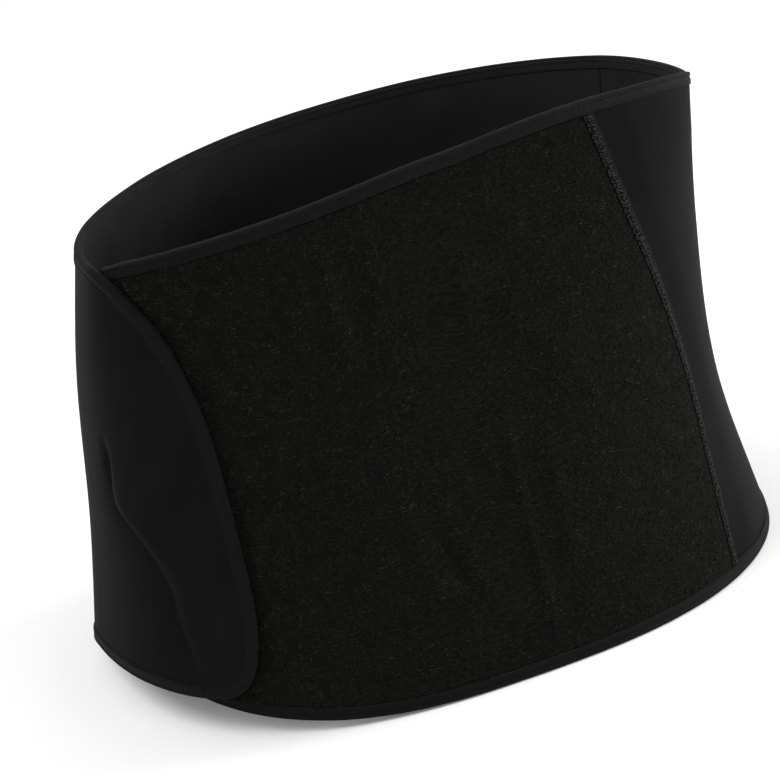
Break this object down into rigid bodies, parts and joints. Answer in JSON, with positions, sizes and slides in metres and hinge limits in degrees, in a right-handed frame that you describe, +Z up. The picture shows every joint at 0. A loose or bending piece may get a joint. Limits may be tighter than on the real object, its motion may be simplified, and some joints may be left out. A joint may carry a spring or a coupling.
{
  "type": "belly binder",
  "caption": "Foam belly binder closed into a flared oval tube, with a curved flap over a fuzzy loop front and folded tape round its edges.",
  "frame": {"origin": "middle of the footprint, on the surface that the binder stands on", "axes": "+Z up along the body, +X to the side seam side across the width, -Y to the front with the loop fabric"},
  "size_m": [0.3342, 0.2288, 0.2482],
  "materials": {
    "foam_cloth": "knit-faced neoprene foam, soft satin",
    "loop_fabric": "brushed loop pile with loose curled fibres",
    "overlock_thread": "close overlocked thread",
    "binding_tape": "folded stretch tape with two rows of stitches",
    "hook_tape": "moulded hook tape, matte"
  },
  "bodies": {
    "root": {"front_panel": "foam_cloth", "back_panel": "foam_cloth", "loop_panel": "loop_fabric", "panel_edge_strip": "overlock_thread", "top_binding": "binding_tape", "bottom_binding": "binding_tape", "hook_patch": "hook_tape"}
  },
  "joints": []
}
